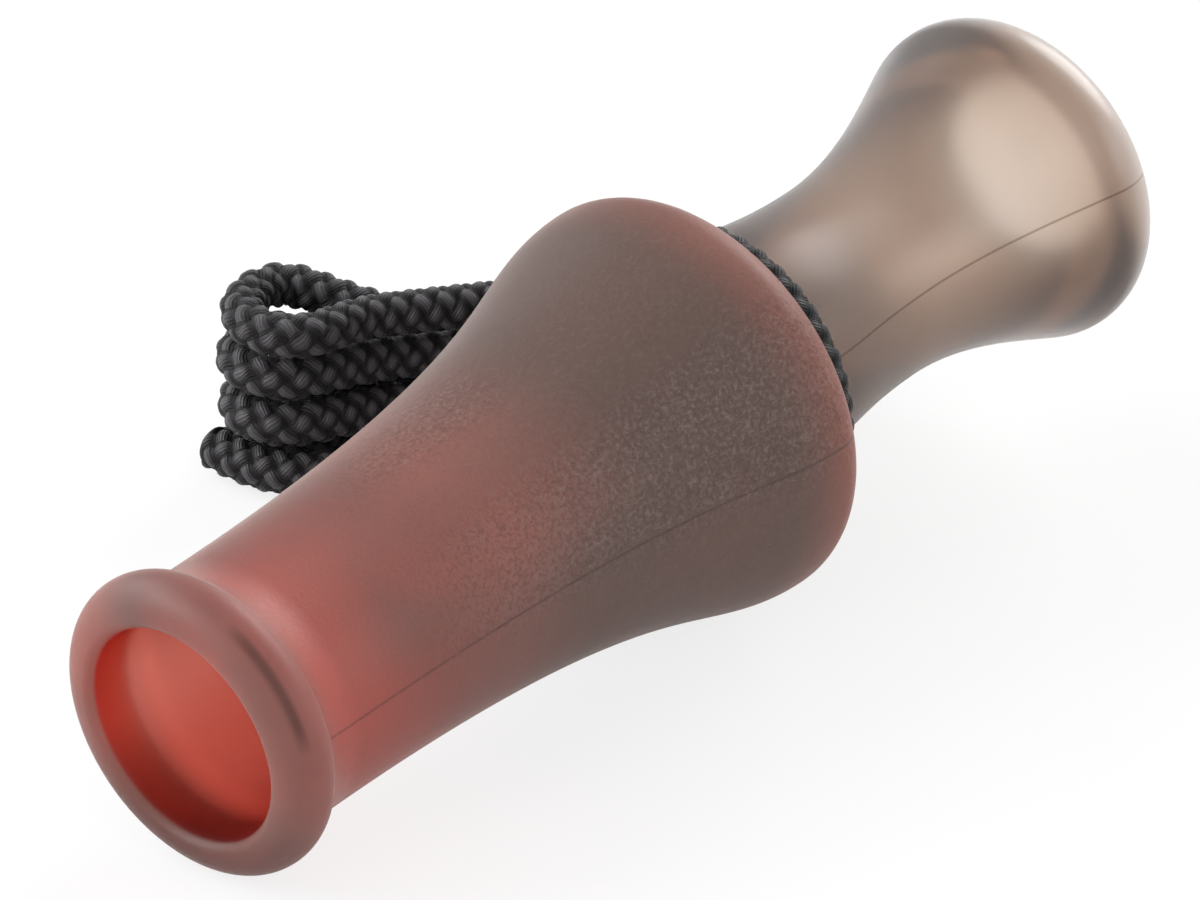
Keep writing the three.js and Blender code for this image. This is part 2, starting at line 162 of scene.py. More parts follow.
class Shade:
    """A socket in a finish's nodes, which takes part in sums and makes further nodes there."""

    def __init__(self, tree, socket=None):
        self.tree = tree
        self.socket = socket

    def node(self, kind, settings, inputs, output=0):
        made = self.tree.nodes.new(kind)
        for key, value in settings.items():
            setattr(made, key, value)
        self.feed(made, inputs)
        return Shade(self.tree, made.outputs[output])

    def feed(self, node, inputs):
        """Links or sets a node's sockets."""
        for key, value in inputs.items():
            if isinstance(value, Shade):
                self.tree.links.new(value.socket, node.inputs[key])
            else:
                node.inputs[key].default_value = value

    def body(self, inputs):
        """The plain shader that each finish starts with, with its sockets filled."""
        own = self.tree.nodes["Principled BSDF"]
        self.feed(own, inputs)
        return Shade(self.tree, own.outputs[0])

    def show(self, ends):
        """Sends shaders to the finish's surface and volume."""
        self.feed(self.tree.nodes["Material Output"], ends)

    def also(self, output):
        """Another output of the same node."""
        return Shade(self.tree, self.socket.node.outputs[output])

    def maths(self, operation, *values):
        return self.node("ShaderNodeMath", {"operation": operation}, dict(enumerate(values)))

    def __add__(self, other):
        return self.maths("ADD", self, other)

    def __radd__(self, other):
        return self.maths("ADD", other, self)

    def __sub__(self, other):
        return self.maths("SUBTRACT", self, other)

    def __rsub__(self, other):
        return self.maths("SUBTRACT", other, self)

    def __mul__(self, other):
        return self.maths("MULTIPLY", self, other)

    def __rmul__(self, other):
        return self.maths("MULTIPLY", other, self)

    def __truediv__(self, other):
        return self.maths("DIVIDE", self, other)

    def __rtruediv__(self, other):
        return self.maths("DIVIDE", other, self)

    def __abs__(self):
        return self.maths("ABSOLUTE", self)

    def __round__(self):
        return self.maths("ROUND", self)

    def larger(self, other):
        return self.maths("MAXIMUM", self, other)

    def within(self, low, high):
        """0 below low, 1 above high, and smooth between them; low may be the larger."""
        settings = {"interpolation_type": "SMOOTHSTEP"}
        return self.node("ShaderNodeMapRange", settings, {0: self, 1: low, 2: high, 3: 0.0, 4: 1.0})

    def mix(self, first, second):
        """One colour where this is 0 and another where it is 1."""
        first, second = [c if isinstance(c, Shade) else (*c, 1) for c in (first, second)]
        return self.node("ShaderNodeMix", {"data_type": "RGBA"}, {0: self, 6: first, 7: second}, output=2)

    def mottle(self, scale, detail, roughness=0.5):
        """Uneven patches over these places, from about 0.3 to 0.7."""
        inputs = {"Vector": self, "Scale": scale, "Detail": detail, "Roughness": roughness}
        return self.node("ShaderNodeTexNoise", {}, inputs)

    def bump(self, strength, height):
        """A surface that this raises, by a height in mm."""
        inputs = {"Strength": strength, "Distance": height * MM, "Height": self}
        return self.node("ShaderNodeBump", {}, inputs)


def new_finish(name):
    """A material and the start of its sums."""
    material = bpy.data.materials.new(name)
    material.use_nodes = True
    return material, Shade(material.node_tree)


def call_places(shade):
    """A surface's places on the call in mm, together and one by one: along it, to its left and up."""
    table_place = shade.node("ShaderNodeTexCoord", {}, {}, output="Object")
    axes = {"Location": mouth_place, "Rotation": call_turn.to_euler(), "Scale": (MM, MM, MM)}
    place = shade.node("ShaderNodeMapping", {"vector_type": "TEXTURE"}, {"Vector": table_place, **axes})
    split = shade.node("ShaderNodeSeparateXYZ", {}, {0: place})
    return place, split, split.also(1), split.also(2)


def layered(tint, *coats):
    """A tint with other tints over it, each with the share of it that it covers."""
    for share, coat in coats:
        tint = share.mix(tint, coat)
    return tint


red_smoke, shade = new_finish("red_smoke")
place, along, left, up = call_places(shade)
radius = shade.maths("SQRT", left * left + up * up)


def facing(degrees):
    """1 where the barrel's side faces this way, in degrees from straight up, and less round it."""
    angle = math.radians(degrees)
    return (up * math.cos(angle) + left * math.sin(angle)) / radius


clouds = place.mottle(0.12, 3)
grain = place.mottle(2.4, 3, 0.7)
on_bead = along.within(7.5, 5.5)
# Painted shade: the bead's colour is darker low down.
bead_low_shade = up.within(-3, -12)
# Painted glow: the back edge is redder, as if lit through its thin corner.
back_edge_glow = along.within(58.5, 66.5)
# Painted shade: the far flank is darker.
far_flank_shade = facing(42).within(0.5, 0.95) * along.within(6, 9) * 0.4

# The mould's line starts behind the bead, and on the far side only behind the neck.
from_parting = abs(left * math.cos(barrel_parting) - up * math.sin(barrel_parting))
parting_seen = left.within(1, -1).larger(along.within(26, 34)) * along.within(6.0, 6.4)
parting_line = from_parting.within(0.2, 0.06) * parting_seen * grain.within(0.3, 0.5)

# The grain shows most in two bands along the sides, where painted highlight stripes lie: there its
# bumps and dark specks are stronger and painted glints show.
near_band = facing(-62).within(0.86, 0.985) * along.within(14, 28)
far_band = facing(12).within(0.9, 0.99) * along.within(18, 28) * along.within(44, 36)
highlight_band = 0.3 + near_band.larger(far_band) * 0.75
specks = grain.within(0.54, 0.36) * along.within(8, 24) * highlight_band
painted_glints = grain.within(0.52, 0.66) * along.within(14, 30) * highlight_band
dark_marks = (specks * 0.4).larger(parting_line * 0.7)

# The red near the mouth and at the back edge is painted glow of light coming through the thin walls,
# over smoke grey between them. Low on the near side the red stops sooner and the far side is darker,
# both as painted shade.
from_mouth_shaded_below = along + facing(-115).within(0.55, 0.95) * 9
painted_glow_share = (from_mouth_shaded_below.within(40, 20) + back_edge_glow) * 0.9 + (clouds - 0.5) * 0.45
clear_tint = layered(
    painted_glow_share.mix((0.60, 0.47, 0.43), (0.82, 0.375, 0.312)),
    (far_flank_shade, (0.30, 0.20, 0.17)),
    (on_bead, bead_low_shade.mix((0.9, 0.63, 0.57), (0.5, 0.33, 0.29))),
    (dark_marks, (0.25, 0.17, 0.15)),
)
frost = 0.5 + (grain - 0.5) * 0.35
frost_bump = (grain * highlight_band).bump(0.8, 0.12)
frosted = shade.body({
    "Base Color": clear_tint,
    "Roughness": frost,
    "Normal": frost_bump,
    "Transmission Weight": 0.87,
    "IOR": barrel_ior,
    "Sheen Weight": 0.45,
    "Sheen Roughness": 0.25,
    "Sheen Tint": (1, 0.9, 0.84, 1),
})

# A milky haze in the plastic hides what is inside, and a painted dark reflection shows as a streak
# in the bead's edge.
bead_edge = abs(along - 1.75).within(0.75, 0.1) * radius.within(13.3, 13.6)
painted_reflection_streak = bead_edge * facing(-50).within(0.87, 0.97)
# Painted light and shade on the bead: darker low down and on top, lighter on its upper left side.
bead_haze_lit_and_shaded = layered(
    bead_low_shade.mix((0.155, 0.07, 0.056), (0.085, 0.04, 0.032)),
    (facing(62).within(0.8, 0.97), (0.25, 0.08, 0.06)),
    (facing(5).within(0.88, 0.98), (0.115, 0.05, 0.04)),
)
# The haze's tint carries the same painted glow and shade, the bead's painted light and shade, the painted
# reflection and the painted glints.
haze_tint = layered(
    from_mouth_shaded_below.within(28, 48).mix((0.36, 0.108, 0.079), (0.125, 0.072, 0.057)),
    (back_edge_glow, (0.27, 0.09, 0.062)),
    (far_flank_shade, (0.06, 0.035, 0.03)),
    (on_bead, bead_haze_lit_and_shaded),
    (painted_reflection_streak * 0.65, (0.055, 0.016, 0.011)),
    (dark_marks, (0.05, 0.035, 0.03)),
    (painted_glints * 0.55, (0.30, 0.23, 0.21)),
)
haze = shade.node("ShaderNodeBsdfPrincipled", {}, {
    "Base Color": haze_tint,
    "Roughness": frost,
    "Normal": frost_bump,
    "IOR": barrel_ior,
    "Specular IOR Level": 0.3,
})
clear_neck = along.within(5, 9) * along.within(32, 20)
haze_share = 0.45 + along.within(26, 50) * 0.12 + painted_reflection_streak * 0.4 + (clouds - 0.5) * 0.25 - clear_neck * 0.28
outside = shade.node("ShaderNodeMixShader", {}, {0: haze_share, 1: frosted, 2: haze})

# The bore is glossy, and light that comes through the wall makes it glow.
at_lip = along.within(6.0, 3.2)
# Painted shade: the bore's colour is darker towards the bottom, deeper in, and at the lip behind the thick
# bead, most of all low down.
bore_shaded_tint = layered(
    up.within(1, -9).mix((1, 0.72, 0.64), (0.75, 0.22, 0.17)),
    (along.within(20, 40), (0.5, 0.32, 0.28)),
    (at_lip, up.within(-3, -11).mix((0.9, 0.2, 0.14), (0.42, 0.05, 0.03))),
)
bore = shade.node("ShaderNodeBsdfPrincipled", {}, {
    "Base Color": bore_shaded_tint,
    "Roughness": 0.3 + at_lip * 0.25,
    "Transmission Weight": 1.0,
    "IOR": 1.25,
})
in_bore = radius.within(10.3, 10.1)
wall = shade.node("ShaderNodeMixShader", {}, {0: in_bore, 1: outside, 2: bore})
veil = shade.node("ShaderNodeVolumeAbsorption", {}, {"Color": (0.87, 0.15, 0.03, 1), "Density": 400.0})
shade.show({"Surface": wall, "Volume": veil})
barrel.data.materials.append(red_smoke)
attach(barrel, "barrel")
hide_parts("barrel")

# Bell insert: a moulding in clearer smoke plastic. Its tenon plugs the barrel and holds the reed
# stack, its collar carries the noose, and its waist opens into a hollow bell with a rolled rim.
fit_gap = 0.3
call_length = 114
tenon_front = 52
tenon_radius = socket_radius - fit_gap
tenon_chamfer = 0.6
board_bore = 6.2
board_stop = 66
ring_places = (57, 63.6)
groove_half = 1.2
groove_radius = 7.6
cord_width = 3.85
collar_at = barrel_length + fit_gap
collar_radius = 11.05
collar_end = collar_at + cord_width + fit_gap
waist_at = 87.85
waist_radius = 9.9
waist_start = 6
waist_end = 8
rim_radius = 4.3
rim_middle = 11.3
flare_angle = math.radians(22)
flare_end = 5
bell_lip_depth = 2.5
bell_lip_step = 0.8
bell_lip_middle = 10.7
bell_mouth = 9
throat_at = 74
throat_length = 16
throat_radius = 4.6
insert_parting = math.radians(-72.3)
insert_ior = 1.47
bell_lip_at = call_length - bell_lip_depth
bell_bore = bell_lip_middle - bell_lip_step
rim_from = call_length - rim_radius
rim = bow((rim_from, rim_middle), (rim_radius, rim_radius), (-flare_angle, quarter_turn), steps=24)
rim_at, rim_start = rim[0]
insert_outline = [
    (tenon_front, board_bore),
    (tenon_front, tenon_radius - tenon_chamfer),
    (tenon_front + tenon_chamfer, tenon_radius),
]
for ring_at in ring_places:
    insert_outline += [
        (ring_at - groove_half, tenon_radius),
        (ring_at - groove_half, groove_radius),
        (ring_at + groove_half, groove_radius),
        (ring_at + groove_half, tenon_radius),
    ]
insert_outline += [
    (collar_at, tenon_radius),
    (collar_at, collar_radius),
    *sweep_line(
        (collar_end, collar_radius),
        (collar_end + waist_start, collar_radius),
        (waist_at - waist_end, waist_radius),
        (waist_at, waist_radius),
        steps=20,
    ),
    *sweep_line(
        (waist_at, waist_radius),
        (waist_at + waist_end, waist_radius),
        (rim_at - flare_end, rim_start - flare_end * math.tan(flare_angle)),
        (rim_at, rim_start),
        steps=30,
    )[1:],
    *rim[1:],
    *bow((bell_lip_at, bell_lip_middle), (bell_lip_depth, -bell_lip_step), (quarter_turn, 0), steps=10),
    *sweep_line(
        (bell_lip_at, bell_bore),
        (bell_lip_at - bell_mouth, bell_bore),
        (throat_at + throat_length, throat_radius),
        (throat_at, throat_radius),
        steps=48,
    )[1:],
    (board_stop, throat_radius),
    (board_stop, board_bore),
]
insert = turned_piece("bell_shell", insert_outline)

smoke, shade = new_finish("smoke")
place, along, left, up = call_places(shade)
radius = shade.maths("SQRT", left * left + up * up)
from_parting = abs(left * math.cos(insert_parting) - up * math.sin(insert_parting))
on_outside = (radius - along.within(96, 104) * 2.5).within(9.6, 9.8) * along.within(72.4, 72.6)
parting_line = from_parting.within(0.16, 0.06) * on_outside
rim_shade = along.within(109.5, 111) * radius.within(13.6, 13.0)
# Painted highlight: a pale shader is mixed over the rim's outer band.
rim_painted_highlight = along.within(108.5, 111) * radius.within(13.2, 14.6)
clouds = place.mottle(0.15, 3)
clear_tint = layered(
    clouds.within(0.3, 0.7).mix((1, 0.98, 0.95), (0.94, 0.93, 0.92)),
    (rim_shade * 0.75, (0.24, 0.17, 0.14)),
    (parting_line, (0.35, 0.28, 0.24)),
)
clear = shade.body({
    "Base Color": clear_tint,
    "Roughness": 0.37 - along.within(92, 102) * 0.09,
    "Transmission Weight": 0.96,
    "IOR": insert_ior,
    "Sheen Weight": 0.1,
    "Sheen Roughness": 0.3,
})
# The pale shader of the rim's painted highlight.
pale = shade.node("ShaderNodeBsdfPrincipled", {}, {
    "Base Color": (0.78, 0.73, 0.69, 1),
    "Roughness": 0.4,
    "IOR": insert_ior,
})
wall = shade.node("ShaderNodeMixShader", {}, {0: rim_painted_highlight * 0.26, 1: clear, 2: pale})
veil = shade.node("ShaderNodeVolumeAbsorption", {}, {"Color": (0.46, 0.21, 0.0, 1), "Density": 205.0})
shade.show({"Surface": wall, "Volume": veil})
insert.data.materials.append(smoke)
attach(insert, "insert")
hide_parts("bell_insert")

# O-rings: two round rings of black rubber with a dull bloom. They are stretched into the tenon's
# grooves, and grip and seal the barrel's socket.
ring_radius = 8.65
ring_half = 0.9
seal_rubber, shade = new_finish("seal_rubber")
dull = call_places(shade)[0].mottle(1.5, 4)
shade.body({
    "Base Color": dull.mix((0.008, 0.008, 0.009), (0.035, 0.034, 0.033)),
    "Roughness": 0.4 + dull * 0.25,
})
for name, ring_at in zip(("o_ring_front", "o_ring_rear"), ring_places):
    section = bow((ring_at, ring_radius), (ring_half, ring_half), (0, math.tau), steps=28)[:-1]
    ring = turned_piece(name + "_seal", section)
    ring.data.materials.append(seal_rubber)
    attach(ring, "seals_and_lanyard")
    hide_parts(name)


# Tone board: a half-round bar of dark acetal, pressed into the tenon, with a sound channel down
# its flat side. Cutting the lay left fine marks along it.
def dress(finish, *nodes):
    """Gives its finish to a piece whose shape is kept from the frame."""
    for node in nodes:
        materials = frame["nodes"][node].data.materials
        materials.clear()
        materials.append(finish)


board_black, shade = new_finish("board_black")
marks = call_places(shade)[0].mottle(0.9, 5, 0.7)
shade.body({
    "Base Color": marks.mix((0.012, 0.011, 0.012), (0.05, 0.047, 0.05)),
    "Roughness": 0.32 + marks * 0.2,
    "Normal": marks.bump(0.2, 0.03),
})
dress(board_black, "tone_board")

# Reed: one strip of clear polyester film, cut with a round tip. Its root is clamped on the tone
# board, and its tongue is free to beat on the lay.
reed_film, shade = new_finish("reed_film")
cloudy = call_places(shade)[0].mottle(0.4, 4)
shade.body({
    "Base Color": cloudy.mix((0.80, 0.84, 0.86), (0.92, 0.94, 0.95)),
    "Roughness": 0.12 + cloudy * 0.2,
    "Transmission Weight": 0.7,
    "IOR": 1.57,
})
dress(reed_film, "reed_tongue", "reed_root")

# Wedge: a slip of cork, cut round on top to fill the tenon's bore. It is pushed in over the reed's
# root and clamps it on the tone board.
cork, shade = new_finish("cork")
place = call_places(shade)[0]
pits = place.mottle(0.7, 3)
cells = shade.node("ShaderNodeTexVoronoi", {"feature": "DISTANCE_TO_EDGE"}, {"Vector": place, "Scale": 1.6})
cell_walls = cells.within(0.12, 0.02) * 0.7
shade.body({
    "Base Color": cell_walls.mix(pits.mix((0.36, 0.21, 0.11), (0.52, 0.34, 0.19)), (0.14, 0.07, 0.035)),
    "Roughness": 0.75 + pits * 0.2,
    "Normal": cells.bump(0.5, 0.08),
})
dress(cork, "wedge")

# Noose: the lanyard's first end. The lanyard is one black polypropylene cord, braided from eight
# yarns in a herringbone, and its noose is drawn tight on the collar, so that it is pressed flatter.
yarns_each_way = 4
braid_step = 2.15
braid_core = 1.36
yarn_half = 0.39
yarn_crown = 0.5
weave_depth = 0.24
fine_step = 0.22 * MM
noose_gap = 0.25
noose_press = 0.82
noose_at = collar_at + cord_width / 2
noose_radius = collar_radius + noose_gap + noose_press * cord_width / 2
knot_radius = 3.85
knot_half = 3
knot_at = collar_at + knot_half
knot_out = collar_radius + fit_gap + knot_radius
knot_angle = math.radians(-17)
to_round = math.acos(noose_radius / knot_out)
straight = noose_radius * math.tan(to_round) - knot_radius - fit_gap


def on_call(along, across, up):
    """A place given along the call from its mouth, across to the lanyard's side, and up."""
    return to_table @ (Vector((along, across, up)) * MM)


def in_noose(angle, past):
    """A place on the noose at an angle from the knot, or straight on past it; it leans to the knot."""
    near_knot = ((1 + math.cos(angle)) / 2) ** 2
    along = noose_at + (knot_at - noose_at) * near_knot
    turn = knot_angle + angle
    across = noose_radius * math.cos(turn) - past * math.sin(turn)
    up = noose_radius * math.sin(turn) + past * math.cos(turn)
    return on_call(along, across, up)


def even_route(places, step):
    """Places set at even steps along a route."""
    lengths = [0.0]
    for before, after in zip(places, places[1:]):
        lengths.append(lengths[-1] + (after - before).length)
    count = round(lengths[-1] / step)
    even, at = [], 0
    for i in range(count + 1):
        target = lengths[-1] * i / count
        while at < len(places) - 2 and lengths[at + 1] < target:
            at += 1
        share = (target - lengths[at]) / (lengths[at + 1] - lengths[at])
        even.append(places[at].lerp(places[at + 1], share))
    return even


def smooth_route(places, step, passes):
    """A route with its corners rounded off, set at fine, even steps."""
    places = even_route(places, step * MM)
    for _ in range(passes):
        inner = [(a + b * 2 + c) / 4 for a, b, c in zip(places, places[1:], places[2:])]
        places = [places[0], *inner, places[-1]]
    return even_route(places, fine_step)


def yarn_height(off, wave):
    """How high one yarn stands: round across, and over and under the others in a flat-topped wave."""
    crown = math.sqrt(max(0.0, 1 - (off / yarn_half) ** 2))
    return weave_depth * (1.5 * wave - 0.5 * wave ** 3) + yarn_crown * crown


def braid_height(turn, along):
    """How far the braid's surface stands from the cord's core: the upper of the two yarns there."""
    u, v = turn + along, turn - along
    i, j = round(u), round(v)
    over = yarn_height(u - i, math.cos(math.pi * (v + i)))
    under = yarn_height(v - j, -math.cos(math.pi * (u + j)))
    return max(over, under)


def braided_cord(name, places, width=cord_width, sides=32, first_side=None, press=1.0):
    """A braided tube along a route, with a map of its turns and steps for the yarns' finish."""
    mesh = bmesh.new()
    lay = mesh.loops.layers.uv.new("braid")
    ways = [(b - a).normalized() for a, b in zip(places, places[1:])]
    ways = [ways[0], *[(a + b).normalized() for a, b in zip(ways, ways[1:])], ways[-1]]
    side = first_side or ways[0].orthogonal()
    scale = width / cord_width * MM
    step = (places[1] - places[0]).length / MM
    rings = []
    for k, (place, way) in enumerate(zip(places, ways)):
        side = (side - way * side.dot(way)).normalized()
        other = way.cross(side)
        ring = []
        for m in range(sides):
            angle = math.tau * m / sides
            out = side * math.cos(angle) * press + other * math.sin(angle)
            reach = braid_core + braid_height(yarns_each_way * m / sides, k * step / braid_step)
            ring.append(mesh.verts.new(place + out * reach * scale))
        rings.append(ring)
    for k, (ring, beyond) in enumerate(zip(rings, rings[1:])):
        for m in range(sides):
            n = (m + 1) % sides
            face = mesh.faces.new((ring[m], ring[n], beyond[n], beyond[m]))
            corners = ((m, k), (m + 1, k), (m + 1, k + 1), (m, k + 1))
            for loop, (turn, ahead) in zip(face.loops, corners):
                loop[lay].uv = (yarns_each_way * turn / sides, ahead * step / braid_step)
    mesh.faces.new(rings[0][::-1])
    mesh.faces.new(rings[-1])
    return finished(name, mesh)


noose_turn = math.tau - 2 * to_round
noose_steps = 72
noose_places = [in_noose(to_round, -straight)]
for i in range(noose_steps + 1):
    noose_places.append(in_noose(to_round + noose_turn * i / noose_steps, 0))
noose_places.append(in_noose(-to_round, straight))
noose_route = smooth_route(noose_places, step=1, passes=2)
outwards = noose_route[0] - on_call(noose_at, 0, 0)
noose = braided_cord("lanyard_loop", noose_route, first_side=outwards, press=noose_press)


def braid_finish(name, hollow_shade, crown_highlight):
    """Yarns that go over and under each other, with painted highlight on their crowns and painted shade in
    the hollows.
    """
    material, shade = new_finish(name)
    lay = shade.node("ShaderNodeUVMap", {"uv_map": "braid"}, {})
    turn = shade.node("ShaderNodeSeparateXYZ", {}, {0: lay})
    along = turn.also(1)
    u, v = turn + along, turn - along
    over = shade.maths("COSINE", (v + round(u)) * math.pi)
    on_top = over.within(-0.05, 0.05)
    across_yarn = on_top * (u - round(u)) + (1 - on_top) * (v - round(v))
    fibres = shade.maths("SINE", across_yarn * 44)
    crown = abs(over) * (1 - across_yarn * across_yarn * 6.2)
    tone = (crown * 0.8 + (lay.mottle(3, 3) - 0.5) * 0.5 + fibres * 0.07).within(0.1, 0.9)
    shade.body({
        "Base Color": tone.mix(hollow_shade, crown_highlight),
        "Roughness": 0.62 - tone * 0.16,
        "Normal": fibres.bump(0.5, 0.06),
        "Specular IOR Level": 0.2,
        "Sheen Weight": 0.04,
        "Sheen Roughness": 0.5,
    })
    return material


# A darker copy of the braid's finish for the noose and knot: painted shade, where they lie between the
# barrel and the insert.
painted_shade_black = braid_finish("painted_shade_black", (0.003, 0.0028, 0.0032), (0.024, 0.0225, 0.025))
noose.data.materials.append(painted_shade_black)
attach(noose, "seals_and_lanyard")
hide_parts("lanyard_noose")


# Knot: nearly two turns of the cord's own end, wrapped round the noose's legs and the lead and
# pulled tight, so that the cord is drawn thin there.
def route_length(places):
    return sum((b - a).length for a, b in zip(places, places[1:]))


wrap_turns = 1.7
wrap_radius = 2.6
wrap_pitch = 2.2
wrap_width = 2.4
wrap_steps = 60
knot_across = knot_out * math.cos(knot_angle)
knot_up = knot_out * math.sin(knot_angle)
wrap_route = []
for i in range(wrap_steps + 1):
    angle = wrap_turns * math.tau * i / wrap_steps
    along = wrap_turns * wrap_pitch * (i / wrap_steps - 0.5)
    across = knot_across + wrap_radius * math.cos(angle)
    wrap_route.append(on_call(knot_at + along, across, knot_up + wrap_radius * math.sin(angle)))
knot = braided_cord("lanyard_knot_wraps", even_route(wrap_route, fine_step), width=wrap_width, sides=24)
knot.data.materials.append(painted_shade_black)
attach(knot, "seals_and_lanyard")
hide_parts("lanyard_knot")
tuple(noose_route[0])
route_length(noose_route)
cord_width * MM
[tuple(p) for p in noose_route[::12]]

# Hank and lead: the rest of the lanyard, from its cut end to the knot. It goes once round on the
# table, is folded to and fro above that, a layer at a time, and the lead turns back to the knot.
hank_place = Vector((58.5, 42.4))
hank_heading = math.radians(-36)
hank_tail = ((-6.4, -2.1), (-4.6, -5.2), (-1.6, -8.1), (2.4, -9.2))
layer_shifts = (1.2, -1.5, -0.65, -0.3)
table_gap = 0.18
turn_gap = 0.5
waist_gap = 1.5
loop_gap = 1
run_length = 40
fold_radius = 4.4
fold_length = 8
outer_start = 2.2
climb_from = 0.6
top_radius = 5.3
top_start = 1.5
lead_leaves = 29.3
lead_turn = 5
lead_heading = math.radians(-160)
lead_steps = 12
hank_steps = 16
top_layer = len(layer_shifts) - 1
layer_height = cord_width + turn_gap
lowest = table_gap + cord_width / 2
run_waist = (cord_width + waist_gap) / 2
outer_loop = cord_width + loop_gap


def in_hank(along, across, layer):
    """A place in the hank: along its runs, across them, and on a layer, each a little to one side."""
    below, above = math.floor(layer), math.ceil(layer)
    shift = layer_shifts[below] + (layer_shifts[above] - layer_shifts[below]) * (layer - below)
    flat = Vector((along, across + shift))
    flat.rotate(Matrix.Rotation(hank_heading, 2))
    flat += hank_place
    height = lowest + layer * layer_height
    return Vector((mouth_place.x + flat.x * MM, flat.y * MM, height * MM))


def half_width(share, radius=fold_radius):
    """Half the width between two runs, which draw together between their folds."""
    drawn_in = min(min(share, 1 - share) * run_length / fold_length, 1)
    return run_waist + (radius - run_waist) * math.cos(quarter_turn * drawn_in) ** 2


run_shares = [i / hank_steps for i in range(1, hank_steps)]
fold_angles = [math.pi * (i / hank_steps - 0.5) for i in range(hank_steps + 1)]
hank_places = [in_hank(along, across, 0) for along, across in hank_tail]


def lay_run(layer, half, start=0, stop=run_length):
    """Lays the near run of a loop, from its left fold to its right one."""
    for share in run_shares:
        if start < share * run_length < stop:
            hank_places.append(in_hank(share * run_length, -half(share), layer))


def lay_fold(end, layer, radius, middle=0):
    """Lays a half round at the left or the right end."""
    out = -1 if end < run_length else 1
    for angle in fold_angles:
        along = end + out * radius * math.cos(angle)
        hank_places.append(in_hank(along, middle + out * radius * math.sin(angle), layer))


# The lowest loop goes round outside the others: its front run shows below them.
lay_run(0, lambda share: fold_radius + outer_loop, start=hank_tail[-1][0] + cord_width)
lay_fold(run_length, 0, fold_radius + outer_loop)
for share in run_shares:
    back = (1 - share) * run_length
    if back > outer_start:
        hank_places.append(in_hank(back, half_width(min(share, 0.5)) + outer_loop, 0))
lay_fold(outer_start, 0, run_waist + outer_loop / 2, middle=outer_loop / 2)

# Each far run climbs to the next layer at its end, and the top fold is the widest.
for layer in range(top_layer):
    below_top = layer == top_layer - 1
    left_radius = top_radius if below_top else fold_radius
    lay_run(layer, half_width, start=0 if layer else outer_start + cord_width)
    lay_fold(run_length, layer, fold_radius)
    for share in run_shares:
        rise = max(share - climb_from, 0) / (1 - climb_from)
        climb = layer + rise * rise * (3 - 2 * rise)
        across = half_width(share, left_radius if share > 0.5 else fold_radius)
        hank_places.append(in_hank((1 - share) * run_length, across, climb))
    lay_fold(top_start if below_top else 0, layer + 1, left_radius)
lay_run(top_layer, lambda share: half_width(min(share, 0.5), top_radius), stop=lead_leaves - cord_width)

# The lead goes on from the hank's top run and turns back to the knot.
knot_back = on_call(knot_at + knot_half + fit_gap, knot_across, knot_up)
turn_starts = lead_leaves + fit_gap + cord_width / 2
turn_middle = in_hank(turn_starts, -run_waist - lead_turn, top_layer)
hank_places.append(in_hank(lead_leaves, -run_waist, top_layer))
for i in range(lead_steps + 1):
    heading = hank_heading + (lead_heading - hank_heading) * i / lead_steps
    side = Vector((-math.sin(heading), math.cos(heading), 0))
    hank_places.append(turn_middle + side * lead_turn * MM)
hank_places.append(on_call(knot_at + knot_half + fit_gap + cord_width / 2, knot_across, knot_up))
hank_places.append(knot_back)
cord_route = smooth_route(hank_places, step=1.2, passes=3)
cord = braided_cord("lanyard_cord", cord_route)
braid_black = braid_finish("braid_black", (0.01, 0.0094, 0.0104), (0.066, 0.0615, 0.068))
cord.data.materials.append(braid_black)
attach(cord, "seals_and_lanyard")
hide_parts("lanyard_hank")
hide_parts("lanyard_lead")

# Cut end: the lanyard's other end. The cord was cut with a hot blade there, which melted its yarns
# into a hard, lumpy and shiny cap, so that it doesn't fray.
melt_radius = 2.0
melt_height = 0.5
melt_foot = -0.6
lump_height = 0.1
lump_spread = 1.7
aim_steps = 6
cut_at, inner = cord_route[0], cord_route[aim_steps]
cap_turn = (cut_at - inner).to_track_quat("Z", "Y").to_matrix().to_4x4()
cap = bmesh.new()
bmesh.ops.create_uvsphere(cap, u_segments=28, v_segments=16, radius=1.0)
for vert in cap.verts:
    lump = 1 + lump_height * noise.noise(vert.co * lump_spread)
    x, y, z = vert.co
    vert.co = Vector((x * melt_radius, y * melt_radius, max(z, melt_foot) * melt_height)) * lump * MM
bmesh.ops.transform(cap, matrix=Matrix.Translation(cut_at) @ cap_turn, verts=cap.verts)
cut_end = finished("lanyard_cut_end", cap)
melted_black, shade = new_finish("melted_black")
lumps = shade.node("ShaderNodeTexCoord", {}, {}, output="Object").mottle(1400, 2)
shade.body({
    "Base Color": lumps.mix((0.004, 0.0038, 0.0042), (0.02, 0.018, 0.02)),
    "Roughness": lumps * 0.3 + 0.25,
    "Normal": lumps.bump(0.6, 0.1),
})
cut_end.data.materials.append(melted_black)
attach(cut_end, "seals_and_lanyard")
tuple(knot_back)
route_length(cord_route)
cord_width * MM
[tuple(p) for p in cord_route[::-12]]

# Floor, backdrop and lights: the call lies on a pale sweep in a studio, a hair above it. Round
# lamps behind soft screens light it evenly, and the sweep looks white in the plastic too.
floor_size = 3
floor_drop = 0.0002
floor_mesh = bmesh.new()
floor_place = Matrix.Translation((0, 0, -floor_drop))
bmesh.ops.create_grid(floor_mesh, x_segments=1, y_segments=1, size=floor_size, matrix=floor_place)
floor = finished("studio_floor", floor_mesh)


def ray_kinds(shade):
    """Three values, 1 for rays from the camera, off a gloss or through clear plastic, or else 0."""
    path = shade.node("ShaderNodeLightPath", {}, {})
    return [path.also("Is %s Ray" % kind) for kind in ("Camera", "Glossy", "Transmission")]


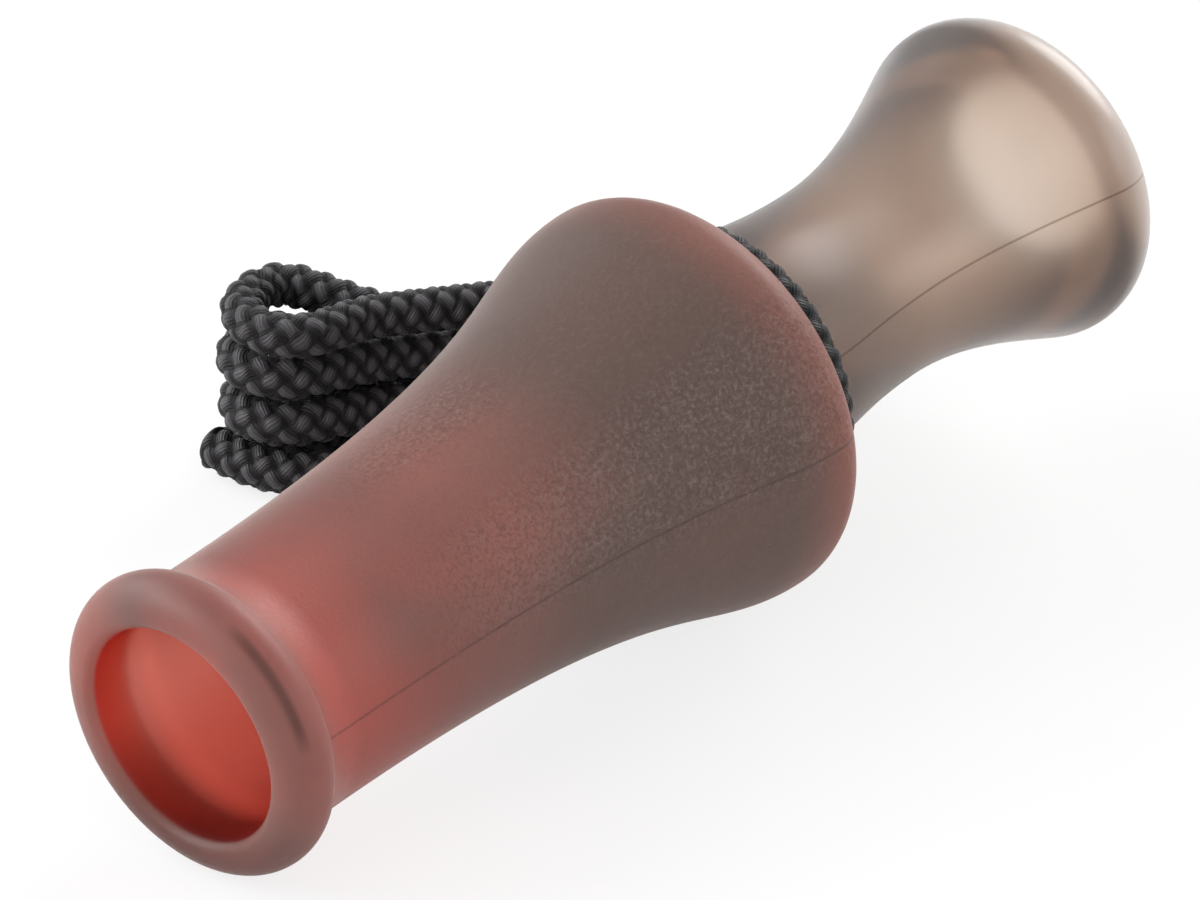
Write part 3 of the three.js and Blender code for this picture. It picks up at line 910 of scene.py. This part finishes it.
pale_floor, shade = new_finish("pale_floor")
by_camera, by_gloss, through = ray_kinds(shade)
seen = (by_camera * 0.8).larger(by_gloss.larger(through) * 0.4)
paper = shade.body({"Base Color": (0.86, 0.86, 0.86, 1), "Roughness": 0.9})
white = shade.node("ShaderNodeEmission", {}, {"Color": (1, 1, 1, 1), "Strength": 1.0})
shade.show({"Surface": shade.node("ShaderNodeMixShader", {}, {0: seen, 1: paper, 2: white})})
floor.data.materials.append(pale_floor)
floor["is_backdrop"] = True

world = bpy.data.worlds.new("studio")
bpy.context.scene.world = world
world.use_nodes = True
shade = Shade(world.node_tree)
by_camera, by_gloss, through = ray_kinds(shade)
seen = by_camera.larger(by_gloss).larger(through)
shade.feed(world.node_tree.nodes["Background"], {"Color": (1, 1, 1, 1), "Strength": seen * 0.5 + 0.5})


def softbox(name, place, size, power, aim=(0, 0, 0.02)):
    light = bpy.data.lights.new(name, "AREA")
    light.shape = "DISK"
    light.size = size
    light.energy = power
    lamp = bpy.data.objects.new(name, light)
    lamp.location = place
    lamp.rotation_euler = (Vector(aim) - Vector(place)).to_track_quat("-Z", "Y").to_euler()
    bpy.context.scene.collection.objects.link(lamp)


softbox("key_light", (-0.6, 0.5, 0.42), size=0.5, power=5)
softbox("fill_light", (-0.35, -0.7, 0.5), size=0.6, power=1.5)
softbox("rim_light", (-0.15, 0.75, 0.45), size=0.5, power=3.5)
softbox("side_light", (0.4, -0.7, 0.3), size=0.5, power=1.2)
softbox("back_light", (0.75, 0.05, 0.4), size=0.6, power=5, aim=(0.05, 0, 0.03))
bpy.context.scene.view_settings.view_transform = "Standard"

# Camera: looks down at the mouth from in front, on the side away from the lanyard, through a long
# lens, as for a catalogue picture.
view_down = math.radians(29.8849)
view_heading = math.radians(-48.6772)
lens = bpy.data.cameras.new("catalogue_view")
lens.sensor_width = 36
lens.lens = 300
camera = bpy.data.objects.new("catalogue_view", lens)
camera.location = (-0.570584, -0.498983, 0.452949)
camera.rotation_euler = (quarter_turn - view_down, 0, view_heading)
bpy.context.scene.collection.objects.link(camera)
bpy.context.scene.camera = camera

visual_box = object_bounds()
{"cad": [list(corner) for corner in cad_box], "visual": [list(corner) for corner in visual_box]}
